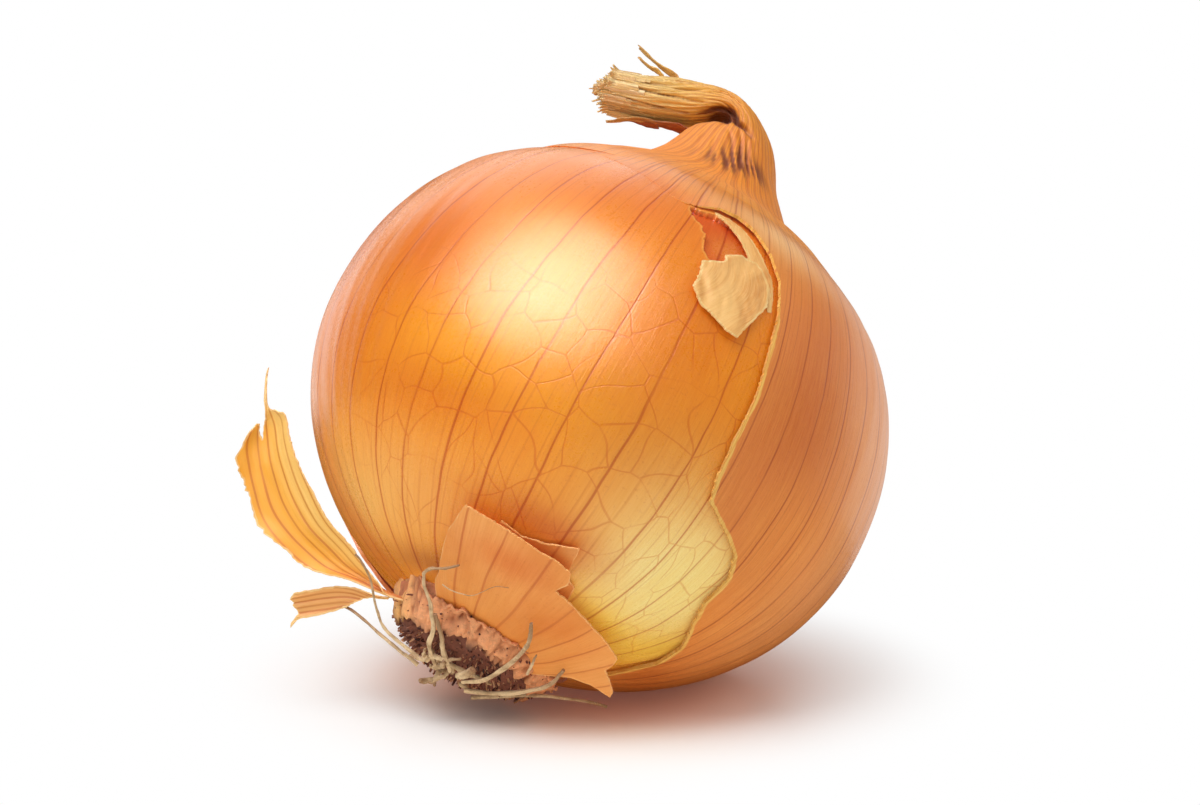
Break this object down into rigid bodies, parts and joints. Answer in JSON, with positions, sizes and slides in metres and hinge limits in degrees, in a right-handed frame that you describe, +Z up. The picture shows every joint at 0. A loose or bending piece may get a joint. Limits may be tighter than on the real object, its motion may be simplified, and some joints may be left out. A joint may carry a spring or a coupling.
{
  "type": "onion",
  "caption": "Brown onion lying tilted, with a folded dry neck, torn papery outer skin, loose husks and dry roots at its root plate.",
  "frame": {"origin": "on the small flat spot that the onion lies on, straight below the middle of the bulb", "axes": "+Z up, away from the surface it lies on; +X to the right and +Y away as seen from the side with the torn skin. The onion's own axis, from root to neck, leans 41 degrees from +Z towards +X and +Y"},
  "size_m": [0.0861, 0.078, 0.0832],
  "materials": {
    "bulb_skin": "smooth golden skin, glossy",
    "outer_skin": "dry papery skin, satin",
    "neck": "dried fibrous leaf, matte",
    "pale_flake": "pale inside of a dry skin, matte",
    "husk": "thin dry skin, matte, lets light through",
    "root_plate": "dark fibrous root plate, rough",
    "root": "dry root, rough"
  },
  "bodies": {
    "root": {"bulb": "bulb_skin", "outer_skin": "outer_skin", "neck": "neck", "neck_strip_long": "neck", "neck_strip_short": "neck", "neck_strip_under": "neck", "folded_flake": "pale_flake", "root_flake": "husk", "root_flake_under": "husk", "husk_large": "husk", "husk_small": "husk", "root_plate": "root_plate", "root_front_left": "root", "root_fork_left": "root", "root_left_low": "root", "root_left_high": "root", "root_front_right": "root", "root_fork_right": "root", "root_right_low": "root", "root_floor": "root", "root_stub_upper": "root", "root_stub_lower": "root"}
  },
  "joints": []
}
